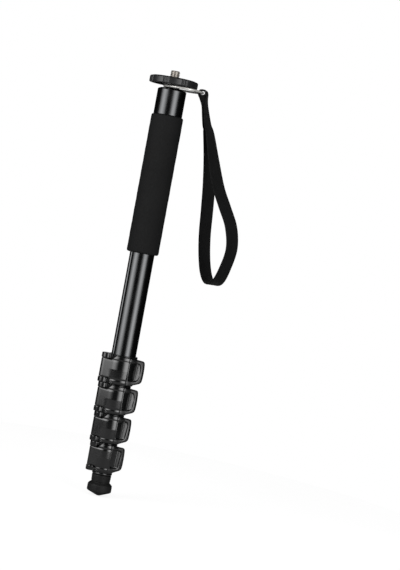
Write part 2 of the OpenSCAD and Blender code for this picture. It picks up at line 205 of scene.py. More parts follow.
def surface_net(field, low, high, step):
    """Quads on the zero level of a distance field, moved onto it."""
    axes = [np.arange(a - step, b + 2 * step, step) for a, b in zip(low, high)]
    grid = np.meshgrid(*axes, indexing="ij")
    vol = field(*grid)
    neg = vol < 0
    shape = tuple(s - 1 for s in vol.shape)
    total = np.zeros(shape, int)
    for i in (0, 1):
        for j in (0, 1):
            for k in (0, 1):
                total += neg[i:i + shape[0], j:j + shape[1], k:k + shape[2]]
    active = (total > 0) & (total < 8)
    ids = np.full(shape, -1)
    ids[active] = np.arange(active.sum())
    cells = np.argwhere(active)
    spot = np.zeros((len(cells), 3))
    hits = np.zeros(len(cells))
    for axis in range(3):
        others = [a for a in range(3) if a != axis]
        for i in (0, 1):
            for j in (0, 1):
                start = cells.copy()
                start[:, others[0]] += i
                start[:, others[1]] += j
                stop = start.copy()
                stop[:, axis] += 1
                va = vol[tuple(start.T)]
                vb = vol[tuple(stop.T)]
                cross = (va < 0) != (vb < 0)
                t = np.where(cross, va / np.where(cross, va - vb, 1.0), 0.0)
                p = start.astype(float)
                p[:, axis] += t
                spot[cross] += p[cross]
                hits += cross
    verts = np.array([a[0] for a in axes]) + spot / hits[:, None] * step
    faces = []
    for axis in range(3):
        a, b = [(1, 2), (2, 0), (0, 1)][axis]
        first = [slice(None)] * 3
        last = [slice(None)] * 3
        first[axis], last[axis] = slice(0, -1), slice(1, None)
        change = neg[tuple(first)] != neg[tuple(last)]
        at = np.argwhere(change)
        at = at[(at[:, a] > 0) & (at[:, b] > 0) & (at[:, a] < shape[a]) & (at[:, b] < shape[b])]
        corner = []
        for da, db in ((1, 1), (0, 1), (0, 0), (1, 0)):
            c = at.copy()
            c[:, a] -= da
            c[:, b] -= db
            corner.append(ids[tuple(c.T)])
        quad = np.stack(corner, axis=1)
        outward = neg[tuple(at.T)]
        quad[~outward] = quad[~outward][:, ::-1]
        faces.append(quad)
    faces = np.concatenate(faces)
    return settled(verts, field, 0.4 * step), faces


def settled(verts, field, limit):
    """Points moved down a field's slope onto its zero level, by no more than a limit in each round."""
    rounds = 5
    nudge = 0.02
    for _ in range(rounds):
        value = field(*verts.T)
        slope = []
        for shift in np.eye(3) * nudge:
            slope.append(field(*(verts + shift).T) - field(*(verts - shift).T))
        grad = np.stack(slope, axis=1) / (2 * nudge)
        move = grad * (value / np.maximum((grad ** 2).sum(1), 0.25))[:, None]
        far = np.linalg.norm(move, axis=1)
        move *= np.minimum(1.0, limit / np.maximum(far, 1e-9))[:, None]
        verts -= move
    return verts


def polar(r, degrees):
    """A point in plan, from its radius and its bearing."""
    return np.array([r * math.cos(math.radians(degrees)), r * math.sin(math.radians(degrees))])


# Materials

class Tree:
    """A short way to write shader nodes on a lamp, a world or a material."""

    def __init__(self, owner):
        owner.use_nodes = True
        self.tree = owner.node_tree

    def add(self, kind, inputs=None, **settings):
        node = self.tree.nodes.new(kind)
        for key, value in settings.items():
            setattr(node, key, value)
        for key, value in (inputs or {}).items():
            if isinstance(value, bpy.types.NodeSocket):
                self.tree.links.new(value, node.inputs[key])
            else:
                node.inputs[key].default_value = value
        return node

    def math(self, operation, *values):
        return self.add("ShaderNodeMath", dict(enumerate(values)), operation=operation).outputs["Value"]

    def range(self, value, low, high, start=0.0, stop=1.0, curve="LINEAR"):
        sockets = {"Value": value, "From Min": start, "From Max": stop, "To Min": low, "To Max": high}
        return self.add("ShaderNodeMapRange", sockets, interpolation_type=curve).outputs["Result"]

    def strength(self, name, output):
        self.tree.links.new(output, self.tree.nodes[name].inputs["Strength"])


class Nodes(Tree):
    """A material on the principled shader."""

    def __init__(self, name):
        self.material = bpy.data.materials.new(name)
        super().__init__(self.material)
        self.shader = self.tree.nodes["Principled BSDF"]
        self.coords = self.add("ShaderNodeTexCoord").outputs["Object"]

    def set(self, **values):
        for key, value in values.items():
            self.shader.inputs[key.replace("_", " ")].default_value = value

    def feed(self, socket, output):
        self.tree.links.new(output, self.shader.inputs[socket])

    def noise(self, scale, detail=4.0, stretch=(1, 1, 1), rough=0.55):
        at = self.add("ShaderNodeMapping", {"Vector": self.coords, "Scale": stretch}).outputs["Vector"]
        sockets = {"Vector": at, "Scale": scale, "Detail": detail, "Roughness": rough}
        return self.add("ShaderNodeTexNoise", sockets).outputs["Fac"]

    def ramp(self, factor, stops):
        node = self.add("ShaderNodeValToRGB", {"Fac": factor})
        while len(node.color_ramp.elements) < len(stops):
            node.color_ramp.elements.new(0.5)
        for element, (place, colour) in zip(node.color_ramp.elements, stops):
            element.position = place
            element.color = (*colour, 1.0)
        return node.outputs["Color"]

    def bump(self, height, distance, strength):
        node = self.add("ShaderNodeBump", {"Height": height, "Distance": distance, "Strength": strength})
        self.feed("Normal", node.outputs["Normal"])


def grey(v, tint=0.0):
    """A grey of a given level, turned a little to blue."""
    return (v * (1 - tint), v, v * (1 + tint))


def make_anodised():
    m = Nodes("anodised_black")
    m.set(Metallic=1.0)
    draw = m.noise(900.0, 3.0, (1, 1, 0.012))
    patch = m.noise(60.0, 4.0)
    m.feed("Base Color", m.ramp(draw, [(0.3, grey(0.112, 0.02)), (0.75, grey(0.142, 0.02))]))
    m.feed("Roughness", m.range(patch, 0.18, 0.24, 0.3, 0.7))
    m.bump(draw, 0.000004, 0.2)
    return m.material


def make_gloss_plastic():
    m = Nodes("collar_plastic")
    m.set(Specular_IOR_Level=1.0)
    cloud = m.noise(70.0, 5.0)
    grain = m.noise(1900.0, 2.0)
    m.feed("Base Color", m.ramp(cloud, [(0.3, grey(0.006, 0.03)), (0.7, grey(0.011, 0.03))]))
    m.feed("Roughness", m.range(cloud, 0.08, 0.14, 0.3, 0.7))
    m.bump(grain, 0.00001, 0.12)
    return m.material


def make_satin_plastic():
    m = Nodes("lever_plastic")
    m.set(Specular_IOR_Level=1.0, IOR=1.62)
    cloud = m.noise(55.0, 5.0)
    grain = m.noise(2600.0, 2.5)
    m.feed("Base Color", m.ramp(cloud, [(0.28, grey(0.002, 0.04)), (0.72, grey(0.006, 0.04))]))
    m.feed("Roughness", m.range(grain, 0.15, 0.2, 0.3, 0.7))
    m.bump(grain, 0.00001, 0.06)
    return m.material


def make_foam():
    m = Nodes("foam")
    m.set(Specular_IOR_Level=0.25)
    cells = m.add("ShaderNodeTexVoronoi", {"Vector": m.coords, "Scale": 1500.0}).outputs["Distance"]
    pits = m.noise(700.0, 6.0, rough=0.7)
    cloud = m.noise(40.0, 4.0)
    skin = m.math("ADD", m.math("MULTIPLY", cells, 0.6), m.math("MULTIPLY", pits, 0.8))
    shade = m.math("ADD", m.math("MULTIPLY", skin, 0.6), m.math("MULTIPLY", cloud, 0.4))
    m.feed("Base Color", m.ramp(shade, [(0.25, grey(0.003, 0.02)), (0.8, grey(0.011, 0.02))]))
    m.feed("Roughness", m.range(pits, 0.72, 0.92, 0.3, 0.7))
    m.bump(skin, 0.00016, 0.75)
    return m.material


def make_rubber():
    m = Nodes("rubber")
    m.set(Specular_IOR_Level=0.42)
    grain = m.noise(1500.0, 4.0)
    dust = m.noise(90.0, 6.0, rough=0.65)
    m.feed("Base Color", m.ramp(dust, [(0.3, grey(0.006)), (0.75, grey(0.014))]))
    m.feed("Roughness", m.range(dust, 0.42, 0.62, 0.3, 0.7))
    m.bump(grain, 0.00005, 0.4)
    return m.material


def make_wheel_plastic():
    m = Nodes("wheel_plastic")
    m.set(Specular_IOR_Level=0.8)
    cloud = m.noise(60.0, 5.0)
    grain = m.noise(2300.0, 3.0)
    m.feed("Base Color", m.ramp(cloud, [(0.3, grey(0.01, 0.03)), (0.7, grey(0.017, 0.03))]))
    m.feed("Roughness", m.range(grain, 0.3, 0.44, 0.3, 0.7))
    m.bump(grain, 0.00004, 0.35)
    return m.material


def make_metal(name, colour, low, high, metallic):
    """Worn metal with its roughness between two values."""
    m = Nodes(name)
    m.set(Metallic=metallic)
    wear = m.noise(120.0, 6.0, rough=0.65)
    fine = m.noise(1400.0, 3.0)
    m.feed("Base Color", m.ramp(wear, [(0.25, tuple(0.88 * c for c in colour)), (0.7, colour)]))
    m.feed("Roughness", m.range(fine, low, high, 0.3, 0.7))
    m.bump(fine, 0.000012, 0.3)
    return m.material


def make_guide_plastic():
    m = Nodes("guide_plastic")
    m.set(Specular_IOR_Level=0.45)
    cloud = m.noise(80.0, 5.0)
    grain = m.noise(1600.0, 3.0)
    m.feed("Base Color", m.ramp(cloud, [(0.3, grey(0.05, 0.02)), (0.7, grey(0.08, 0.02))]))
    m.feed("Roughness", m.range(cloud, 0.38, 0.52, 0.3, 0.7))
    m.bump(grain, 0.00003, 0.3)
    return m.material


def make_webbing():
    """Woven tape on a UV map in metres: warp cords along the strap's length, picks across it."""
    warp_pitch, pick_pitch = 0.00125, 0.0011
    m = Nodes("webbing")
    m.set(Specular_IOR_Level=0.2, Sheen_Weight=0.06, Sheen_Roughness=0.4)
    uv = m.add("ShaderNodeUVMap", uv_map="strap").outputs["UV"]
    part = m.add("ShaderNodeSeparateXYZ", {"Vector": uv}).outputs
    warp = m.math("SINE", m.math("MULTIPLY", part["X"], 2 * math.pi / warp_pitch))
    pick = m.math("SINE", m.math("MULTIPLY", part["Y"], 2 * math.pi / pick_pitch))
    weave = m.math("MULTIPLY", warp, pick)
    cord = m.math("ABSOLUTE", warp)
    height = m.math("ADD", m.math("MULTIPLY", weave, 0.35), m.math("MULTIPLY", cord, 0.5))
    fuzz = m.noise(2600.0, 4.0)
    cloud = m.noise(90.0, 4.0)
    height = m.math("ADD", height, m.math("MULTIPLY", fuzz, 0.5))
    tone = m.math("ADD", m.math("MULTIPLY", height, 0.35), m.math("MULTIPLY", cloud, 0.65))
    m.feed("Base Color", m.ramp(tone, [(0.2, grey(0.002)), (0.85, grey(0.008, 0.03))]))
    m.feed("Roughness", m.range(fuzz, 0.62, 0.86, 0.3, 0.7))
    m.bump(height, 0.00022, 0.7)
    return m.material


def make_thread():
    m = Nodes("thread")
    m.set(Specular_IOR_Level=0.35)
    twist = m.noise(3000.0, 2.0)
    cloud = m.noise(200.0, 4.0)
    m.feed("Base Color", m.ramp(cloud, [(0.3, grey(0.008)), (0.7, grey(0.016))]))
    m.feed("Roughness", m.range(twist, 0.45, 0.62, 0.3, 0.7))
    m.bump(twist, 0.00005, 0.5)
    return m.material


ANODISED = make_anodised()
COLLAR = make_gloss_plastic()
LEVER = make_satin_plastic()
FOAM = make_foam()
RUBBER = make_rubber()
WHEEL = make_wheel_plastic()
# The ring's metal is only partly metallic, so its near-white colour shows as diffuse white: a painted
# reflection of bright surroundings that a mirror-like wire would pick up
CHROME_PAINTED_REFLECTION = make_metal("chrome", (0.86, 0.85, 0.81), 0.14, 0.22, 0.45)
STEEL = make_metal("steel", (0.66, 0.62, 0.57), 0.2, 0.32, 0.7)
GUIDE = make_guide_plastic()
WEBBING = make_webbing()
THREAD = make_thread()


# Tubes with the groove along the front left

def tube_outline(r, groove_r, count):
    """Plan of a grooved round bar, as points anticlockwise from the groove."""
    groove = polar(GROOVE_AT, GROOVE_AZ)
    edge = 0.15
    out = []
    for k in range(count):
        a = 2 * math.pi * k / count + math.radians(GROOVE_AZ)
        side = np.array([math.cos(a), math.sin(a)])
        along = side @ groove
        inside = along * along - GROOVE_AT ** 2 + groove_r ** 2
        if along > 0 and inside > 0:
            near = along - math.sqrt(inside)
            out.append(side * float(smooth_min(np.array(near), np.array(r), edge)))
        else:
            out.append(side * r)
    return out


def make_tube(k):
    groove = GROOVE_R + TUBE_STEP * (k - 1)
    low, high = TUBE_BOTTOM[k], TUBE_TOP[k]
    around = 320
    section = [(0.35, low), (0.1, low + 0.1), (0.0, low + 0.35), (0.0, high - 0.35),
               (0.1, high - 0.1), (0.35, high), (WALL - 0.15, high), (WALL, high - 0.15),
               (WALL, low + 0.15), (WALL - 0.15, low)]
    section = with_supports(section, True)
    verts = []
    for inset, z in section:
        verts += [(*p, z) for p in tube_outline(TUBE_R[k] - inset, groove + inset, around)]
    faces = quads(len(section), around, loop=True)
    obj = add_mesh(f"tube_{k}_drawn", verts, faces, ANODISED, f"section_{k}", [f"tube_{k}"])
    sharpen(obj, 50)


for number in SECTIONS:
    make_tube(number)


# Foam grip, head sleeve, foot

def turned(name, profile, material, body, node, segments, radius, closed=True):
    """A turned piece that takes the place of a node, with the corners of its profile rounded."""
    verts, faces = lathe(rounded(profile, radius, 4, closed), segments, closed)
    obj = add_mesh(name, verts, faces, material, body, [node])
    sharpen(obj, 50)


def make_grip():
    """Foam sleeve with soft ends and the slight waviness of ground foam."""
    inner = GRIP_BORE
    low, high = GRIP_Z, GRIP_Z + GRIP_LEN
    rows = 60
    side = [(GRIP_R, low + 2.0 + (GRIP_LEN - 4.0) * i / rows) for i in range(rows + 1)]
    outline = [(inner, low + 0.4), (inner + 0.5, low), (GRIP_R - 1.9, low), (GRIP_R - 0.75, low + 0.35),
               (GRIP_R - 0.2, low + 1.1)] + side
    outline += [(GRIP_R - 0.2, high - 1.1), (GRIP_R - 0.75, high - 0.35), (GRIP_R - 1.9, high),
                (inner + 0.5, high), (inner, high - 0.4)]
    verts, faces = lathe(outline, 160, True)
    long_wave, short_wave = 0.05, 0.04
    shaped = []
    for x, y, z in verts:
        r = math.hypot(x, y)
        if r > inner + 1:
            a = math.atan2(y, x)
            swell = long_wave * math.sin(z * 0.31 + 1.3 * math.sin(a))
            swell += short_wave * math.sin(z * 0.83 + 2 * a)
            f = (r - long_wave - short_wave + swell) / r
            x, y = x * f, y * f
        shaped.append((x, y, z))
    obj = add_mesh("foam_grip_soft", shaped, faces, FOAM, "section_1", ["foam_grip"])
    sharpen(obj, 60)


make_grip()

SLEEVE_OUTLINE = [(GRIP_BORE, SLEEVE_Z), (SLEEVE_R - 0.35, SLEEVE_Z), (SLEEVE_R, SLEEVE_Z + 0.35),
                  (SLEEVE_R, SLEEVE_TOP - 1.9), (SLEEVE_R - 0.9, SLEEVE_TOP - 0.9),
                  (SLEEVE_NECK_R, SLEEVE_TOP), (SLEEVE_NECK_R, SLEEVE_TOP - 0.6),
                  (GRIP_BORE, SLEEVE_TOP - 1.6)]
turned("head_sleeve_gloss", SLEEVE_OUTLINE, ANODISED, "section_1", "head_sleeve",
       segments=160, radius=0.25)

FOOT_TIP = [(0.0, 0.0), (1.8, 0.0), (2.6, 0.35)]
FOOT_FLANGE = [(FLANGE_R - 0.8, 4.2), (FLANGE_R - 0.05, 4.9), (FLANGE_R, 7.0), (FLANGE_R - 0.1, 10.8),
               (FLANGE_R - 0.6, 11.6)]
FOOT_NECK = [(10.0, 13.3), (9.35, 13.6), (9.2, 14.0), (9.5, 14.7), (9.8, FOOT_H - 0.5), (9.5, FOOT_H)]
SOCKET_R, SOCKET_Z = 7.0, 12.3
FOOT_SOCKET = [(SOCKET_R, FOOT_H), (SOCKET_R, SOCKET_Z), (0.0, SOCKET_Z)]
turned("rubber_foot_moulded", FOOT_TIP + FOOT_FLANGE + FOOT_NECK + FOOT_SOCKET, RUBBER, "section_5",
       "rubber_foot", segments=128, radius=0.45, closed=False)


# Platform wheel with notches in its rim, friction pad, threaded stud

def notch_depth(bearing):
    """How deep the rim is cut at a bearing: eight pairs of round notches."""
    pairs, first, apart = 8, -62.0, 4.2
    half_width, depth = 0.95, 0.6
    centres = [first + 360.0 / pairs * i + side for i in range(pairs) for side in (-apart, apart)]
    away = min(abs((bearing - centre + 180) % 360 - 180) for centre in centres)
    off = math.radians(away) * WHEEL_R
    return depth * math.sqrt(max(0.0, 1 - (off / half_width) ** 2))


def make_wheel():
    """Moulded wheel, hollow below, with a seat for the pad on top."""
    low, high = WHEEL_Z, WHEEL_TOP
    bore, hub, hollow, seat, rim_wall = 3.63, 10.0, high - 2.4, high - 0.6, 1.2
    outline = [(bore, high - 3.0), (bore, low + 0.2), (3.9, low), (hub, low), (hub, hollow),
               (21.15, hollow), (21.55, low), (WHEEL_R - 0.6, low), (WHEEL_R, low + 0.6),
               (WHEEL_R, high - 0.8), (WHEEL_R - 0.8, high), (WHEEL_R - 2.3, high),
               (WHEEL_R - 2.5, seat), (RELIEF_R + 0.03, seat), (RELIEF_R + 0.03, high - 3.0)]
    radius = [0.05, 0.1, 0.1, 0.3, 0.6, 0.6, 0.3, 0.4, 0.4, 0.4, 0.4, 0.12, 0.12, 0.05, 0.05]
    outline = rounded(outline, radius, 4, closed=True)
    around = 360
    verts = []
    for k in range(around):
        bearing = 360.0 * k / around
        cut = notch_depth(bearing)
        for r, z in outline:
            share = min(1.0, max(0.0, (r - (WHEEL_R - rim_wall)) / rim_wall))
            verts.append((*polar(r - cut * share, bearing), z))
    faces = quads(around, len(outline), loop=True, flip=True)
    obj = add_mesh("platform_wheel_moulded", verts, faces, WHEEL, "platform", ["platform_wheel"])
    sharpen(obj, 45)


def make_pad():
    """Rubber disc with fine concentric ribs."""
    inner, outer = STUD_R + 0.8, WHEEL_R - 2.55
    low, high = WHEEL_TOP - 0.58, WHEEL_TOP + 0.6
    rib_pitch, groove_z = 1.7, high - 0.22
    outline = [(inner, low), (inner, high - 0.2), (inner + 0.2, high)]
    r = inner + 0.8
    while r < outer - 1.0:
        outline += [(r, high), (r + 0.25, groove_z), (r + 0.55, groove_z), (r + 0.8, high)]
        r += rib_pitch
    outline += [(outer - 0.3, high), (outer, high - 0.3), (outer, low)]
    verts, faces = lathe(outline, 160, True)
    obj = add_mesh("platform_pad_ribbed", verts, faces, RUBBER, "platform", ["platform_pad"])
    sharpen(obj, 35)


def make_stud():
    """Threaded stud with a plain shank below the thread."""
    pitch, depth, run_in = 1.5875, 0.78, 0.5
    low, high = THREAD_Z, STUD_TOP
    around, up = 72, 130
    verts = []
    for i in range(up + 1):
        z = low + (high - low) * i / up
        start = min(1.0, (z - low) / run_in)
        chamfer = STUD_R - depth + (high - z)
        for k in range(around):
            a = 2 * math.pi * k / around
            phase = ((z - low) / pitch - k / around) % 1.0
            wave = 1 - abs(2 * phase - 1)
            crest = min(1.0, max(0.0, (wave - 0.12) / 0.7))
            r = min(STUD_R - depth * (1 - crest), chamfer)
            r = RELIEF_R + (r - RELIEF_R) * start
            verts.append((r * math.cos(a), r * math.sin(a), z))
    faces = quads(up + 1, around)
    faces.append(list(range(up * around, (up + 1) * around)))
    shank_r, clip_r, end = 3.6, 2.9, 399.1
    shank = [(0.0, end), (3.2, end), (shank_r, 399.5), (shank_r, 400.1), (clip_r, 400.15),
             (clip_r, 401.05), (shank_r, 401.1), (shank_r, WHEEL_TOP - 3.0), (RELIEF_R, WHEEL_TOP - 2.95),
             (RELIEF_R, low + 0.05), (0.0, low + 0.05)]
    more, extra = lathe(rounded(shank, 0.06, 3), around)
    base = len(verts)
    verts += more
    faces += [[base + v for v in f] for f in extra]
    obj = add_mesh("camera_stud_threaded", verts, faces, STEEL, "platform", ["camera_stud"])
    sharpen(obj, 30)


make_wheel()
make_pad()
make_stud()


# Strap ring

def make_ring():
    """Welded wire ring with a small weld swelling at the far side."""
    around, tube = 192, 28
    weld_at, weld_width, weld_swell = 150, 2.2, 0.03
    x, y, z = RING_AT
    verts = []
    for i in range(around):
        a = 2 * math.pi * i / around
        gap = abs((math.degrees(a) - weld_at + 180) % 360 - 180)
        wire = RING_WIRE * (1 - weld_swell + weld_swell * math.exp(-(gap / weld_width) ** 2))
        for k in range(tube):
            b = 2 * math.pi * k / tube
            r = RING_R + wire * math.cos(b)
            verts.append((x + r * math.cos(a), y + r * math.sin(a), z + wire * math.sin(b)))
    faces = quads(around, tube, loop=True, flip=True)
    add_mesh("strap_ring_wire", verts, faces, CHROME_PAINTED_REFLECTION, "ring", ["strap_ring"])


make_ring()


# Wrist strap: one closed loop of webbing through the ring

# Points of its middle line from the ring's wire, the bearing of its width and the share of its full width
STRAP_ROUTE = [
    (0.5, 0, 2.8, 82, 0.6), (3.3, 0, 2, 82, 0.6), (4.5, 0, -0.8, 82, 0.64), (4.7, -0.1, -5.5, 80, 0.72),
    (5.7, -0.4, -12.5, 75, 0.86), (8.2, -0.6, -22.5, 68, 0.96), (10.5, -1.5, -30, 63, 1),
    (14.2, -4.5, -38, 57, 1), (22.5, -13, -63, 45, 1), (32, -23, -89, 36, 1), (41.5, -29, -107, 34, 1),
    (51.5, -32, -126, 38, 1), (56, -30, -147, 43, 1), (53, -22, -168, 42, 1), (48.5, -10, -182, 40, 1),
    (42.5, 4, -186, 39, 1), (36.5, 17, -179, 39, 1), (31.5, 27, -163, 39, 1), (27.5, 31, -140, 38, 1),
    (25, 28.5, -113, 37, 1), (22.5, 22, -90, 39, 1), (18, 13, -64, 47, 1), (11.4, 4.5, -37, 58, 1),
    (8.5, 1.6, -29.5, 63, 1), (6.1, 0.6, -22.5, 68, 0.96), (2.9, 0.4, -12.9, 75, 0.86),
    (-0.9, 0.1, -6.2, 80, 0.72), (-3.5, 0, -1.9, 82, 0.64), (-2.9, 0, 1.9, 82, 0.6),
]
STRAP_SUB = 8
FRONT_LAYER, REAR_LAYER = (1, 6), (23, 27)


def strap_samples():
    """Points, width directions, flat normals and widths along a smooth curve through the route."""
    route = np.array(STRAP_ROUTE, float)
    n = len(route)
    rows = []
    for i in range(n):
        p0, p1, p2, p3 = route[i - 1], route[i], route[(i + 1) % n], route[(i + 2) % n]
        for t in np.arange(STRAP_SUB) / STRAP_SUB:
            bend = (2 * p0 - 5 * p1 + 4 * p2 - p3) * t * t + (3 * p1 - p0 - 3 * p2 + p3) * t ** 3
            rows.append(0.5 * (2 * p1 + (p2 - p0) * t + bend))
    rows = np.array(rows)
    at = rows[:, :3] + np.array(STRAP_AT)
    tangent = np.roll(at, -1, axis=0) - np.roll(at, 1, axis=0)
    tangent /= np.linalg.norm(tangent, axis=1)[:, None]
    bearing = np.radians(rows[:, 3])
    across = np.stack([np.cos(bearing), np.sin(bearing), 0 * bearing], axis=1)
    across -= tangent * (across * tangent).sum(1)[:, None]
    across /= np.linalg.norm(across, axis=1)[:, None]
    flat = np.cross(tangent, across)
    return at, across, flat, rows[:, 4] * STRAP_W


def make_strap():
    """The woven loop, thinner at its two edges, and its length along the middle line."""
    at, across, flat, width = strap_samples()
    cells, thick, edge_at, edge_drop = 14, 0.86, 0.86, 0.3
    lane = []
    for u in np.linspace(-1, 1, cells + 1):
        edge = max(0.0, (abs(u) - edge_at) / (1 - edge_at))
        lane.append((u, STRAP_T / 2 * (thick - edge_drop * edge * edge)))
    profile = lane + [(u, -h) for u, h in reversed(lane)]
    verts = []
    for i in range(len(at)):
        for u, h in profile:
            verts.append(at[i] + across[i] * (u * 0.5 * width[i]) + flat[i] * h)
    step = np.linalg.norm(np.roll(at, -1, axis=0) - at, axis=1)
    run = np.concatenate([[0.0], np.cumsum(step)])
    girth = [0.0]
    for (u0, h0), (u1, h1) in zip(profile, profile[1:] + profile[:1]):
        girth.append(girth[-1] + math.hypot((u1 - u0) * STRAP_W / 2, h1 - h0))
    uvs = []
    for v0, v1 in zip(run, run[1:]):
        for u0, u1 in zip(girth, girth[1:]):
            uvs += [(u0, v0), (u1, v0), (u1, v1), (u0, v1)]
    faces = quads(len(at), len(profile), loop=True)
    obj = add_mesh("wrist_strap_woven", verts, faces, WEBBING, "strap", ["wrist_strap"])
    layer = obj.data.uv_layers.new(name="strap")
    for loop, (u, v) in zip(layer.data, uvs):
        loop.uv = (u * MM, v * MM)
    return obj, run[-1]


def layers_at(depths):
    """The two layers of the strap at depths under the ring: point, width direction, face normal, width."""
    at, across, flat, width = strap_samples()
    rows = np.concatenate([at, across, flat, width[:, None]], axis=1)
    front = rows[FRONT_LAYER[0] * STRAP_SUB:FRONT_LAYER[1] * STRAP_SUB + 1]
    rear = rows[REAR_LAYER[0] * STRAP_SUB:REAR_LAYER[1] * STRAP_SUB + 1][::-1]
    out = []
    for part in (front, rear):
        drop = STRAP_AT[2] - part[:, 2]
        out.append(np.stack([np.interp(depths, drop, column) for column in part.T], axis=1))
    return out


def facing(here, there):
    """1 where a layer's normal points to the other layer, else -1."""
    return 1.0 if here[6:9] @ (there[:3] - here[:3]) > 0 else -1.0


def make_tail():
    """The folded end of the webbing, sewn in between the two layers under the ring."""
    fold, straight, half_points = 12, 14, 7
    fold_r, sink, tuck, bulge = 1.9, 0.6, 0.35, 0.5
    depths = np.concatenate([np.linspace(-1.7, 1.85, fold), [2.2], np.linspace(2.8, 19.5, 16), [19.8]])
    right, left = layers_at(depths)
    for i, depth in enumerate(depths[:fold]):
        left[i] = right[i]
        left[i][0] = STRAP_AT[0] + math.sqrt(max(0.0, fold_r ** 2 - depth * depth))
    right[:straight, 3:6] = (0.0, 1.0, 0.0)
    verts = []
    for i in range(len(depths)):
        first = right[i][:3] + right[i][6:9] * facing(right[i], left[i]) * sink
        last = left[i][:3] + left[i][6:9] * facing(left[i], right[i]) * sink
        if i < fold:
            last = left[i][:3]
        span = 0.46 * min(right[i][9], left[i][9])
        if i in (0, len(depths) - 1):
            span -= tuck
        for side, order in ((1, (0, 1)), (-1, (1, 0))):
            for t in np.linspace(*order, half_points):
                bow = bulge * (1 - (2 * t - 1) ** 2)
                verts.append(first * (1 - t) + last * t + right[i][3:6] * side * (span - bow))
    m = 2 * half_points
    faces = quads(len(depths), m)
    faces.append(tuple(range(m)))
    faces.append(tuple(reversed(range(len(verts) - m, len(verts)))))
    obj = add_mesh("wrist_strap_tail", verts, faces, WEBBING, "strap")
    layer = obj.data.uv_layers.new(name="strap")
    for loop in obj.data.loops:
        row, k = divmod(loop.vertex_index, m)
        layer.data[loop.index].uv = (0.9 * MM * k, MM * float(depths[row]))
    return obj


def thread_run(points):
    """A thin round thread along points, with closed ends."""
    radius, sides = 0.24, 7
    aslant = [0.31, 0.17, 0.93]
    points = np.array(points, float)
    verts = []
    ahead = np.gradient(points, axis=0)
    ahead /= np.linalg.norm(ahead, axis=1)[:, None]
    for p, d in zip(points, ahead):
        one = np.cross(d, aslant)
        one /= np.linalg.norm(one)
        two = np.cross(d, one)
        for k in range(sides):
            a = 2 * math.pi * k / sides
            verts.append(p + radius * (one * math.cos(a) + two * math.sin(a)))
    faces = quads(len(points), sides)
    faces.append(tuple(reversed(range(sides))))
    faces.append(tuple(range(len(verts) - sides, len(verts))))
    return verts, faces


def make_stitches():
    """Two bar tacks on the outer face of each layer."""
    turns, half_run, swing, lift = 48, 0.36, 0.8, 0.78
    verts, faces = [], []
    for depth in (15.0, 19.0):
        for face in (0, 1):
            zig = []
            for i in range(turns + 1):
                u = half_run * (2 * i / turns - 1)
                drop = depth + swing * (4 * abs((i / 4) % 1.0 - 0.5) - 1)
                layers = layers_at(np.array([drop]))
                here, there = layers[face][0], layers[1 - face][0]
                away = here[6:9] * -facing(here, there)
                zig.append(here[:3] + here[3:6] * u * here[9] + away * lift)
            more, extra = thread_run(zig)
            base = len(verts)
            verts += more
            faces += [tuple(base + v for v in f) for f in extra]
    return add_mesh("wrist_strap_stitches", verts, faces, THREAD, "strap", ())


strap, strap_length = make_strap()
sewn = [make_tail(), make_stitches()]


# Lock collars and levers as moulded shapes; heights are from the lock's lower end

# How far beyond the tube's radius these lie: collar, inside and outside of the lever, hinge, tab
COLLAR_OUT, LEVER_IN, LEVER_OUT, HINGE_OUT = 2.0, 2.35, 4.5, 4.6
TAB_RUN_OUT, TAB_TIP_OUT = 9.4, 11.2
BARREL_R, LEVER_BORE_R = 3.9, 1.55
BARREL_ROOM_R, COLLAR_BORE_R = 4.25, 1.53
EAR_LO, EAR_HI, EAR_GAP = 0.176 * LOCK_H, 0.821 * LOCK_H, 0.3
MOULD_STEP = 0.4
# Outline of the finger pocket and of the tab, as shares of the tab's reach and the lock's height
POCKET_MOUTH = [(0.3, 0.2), (0.68, 0.2), (0.76, 0.225), (0.815, 0.3), (0.838, 0.42), (0.842, 0.55),
                (0.83, 0.68), (0.8, 0.765), (0.74, 0.81), (0.6, 0.82), (0.3, 0.82)]
TAB_FRONT = [(0.5, 0.03), (0.86, 0.132), (0.93, 0.169), (0.965, 0.223), (0.99, 0.355), (1.0, 0.524),
             (0.99, 0.693), (0.965, 0.831), (0.94, 0.878), (0.9, 0.909), (0.5, 0.953)]


def hinge_of(k):
    """Where the pin of lock k stands in plan."""
    return np.array([-(TUBE_R[k] + HINGE_OUT), -0.363 * TUBE_R[k]])


def slant_x(r, z):
    """Where the lever's slanted shoulder stands at a height, between an ear and the bulge."""
    rise = np.minimum(1.0, np.maximum(0.0, np.abs(z - LOCK_H / 2) - 0.325 * LOCK_H) / (0.169 * LOCK_H))
    return -(0.35 * r + 6.7) + 5.4 * rise


def ear_reach(r, z):
    """How far an ear comes from its hinge at a height; the lever's shoulders swing past it."""
    hinge = -(r + HINGE_OUT)
    far = math.hypot(slant_x(r, 0.0) - hinge, 0.57 * r + 4.0)
    near = math.hypot(slant_x(r, LOCK_H / 2) - hinge, 0.49 * r + 2.07)
    low = z < LOCK_H / 2
    share = (np.where(low, z, LOCK_H - z) + 0.6) / (np.where(low, 0.176, 0.179) * LOCK_H + 1.2)
    return far + (near - far) * share


def lever_front(r):
    """The lever's outline from the front: arm between the ears, shoulders, bulge and finger tab."""
    tip = r + TAB_TIP_OUT
    lo, hi = EAR_LO + EAR_GAP, EAR_HI - EAR_GAP
    base, top, far_left = 0.3, LOCK_H - 0.4, -40
    front = [(far_left, lo), (slant_x(r, EAR_LO), lo), (slant_x(r, 0.0), base), (0.28 * tip, base)]
    front += [(x * tip, z * LOCK_H) for x, z in TAB_FRONT]
    front += [(0.3 * tip, top), (slant_x(r, LOCK_H), top), (slant_x(r, EAR_HI), hi), (far_left, hi)]
    tab_corner = 6.0
    sharp = [0] * 5
    return rounded(front, sharp + [tab_corner] * (len(TAB_FRONT) - 2) + sharp, 3, closed=True)


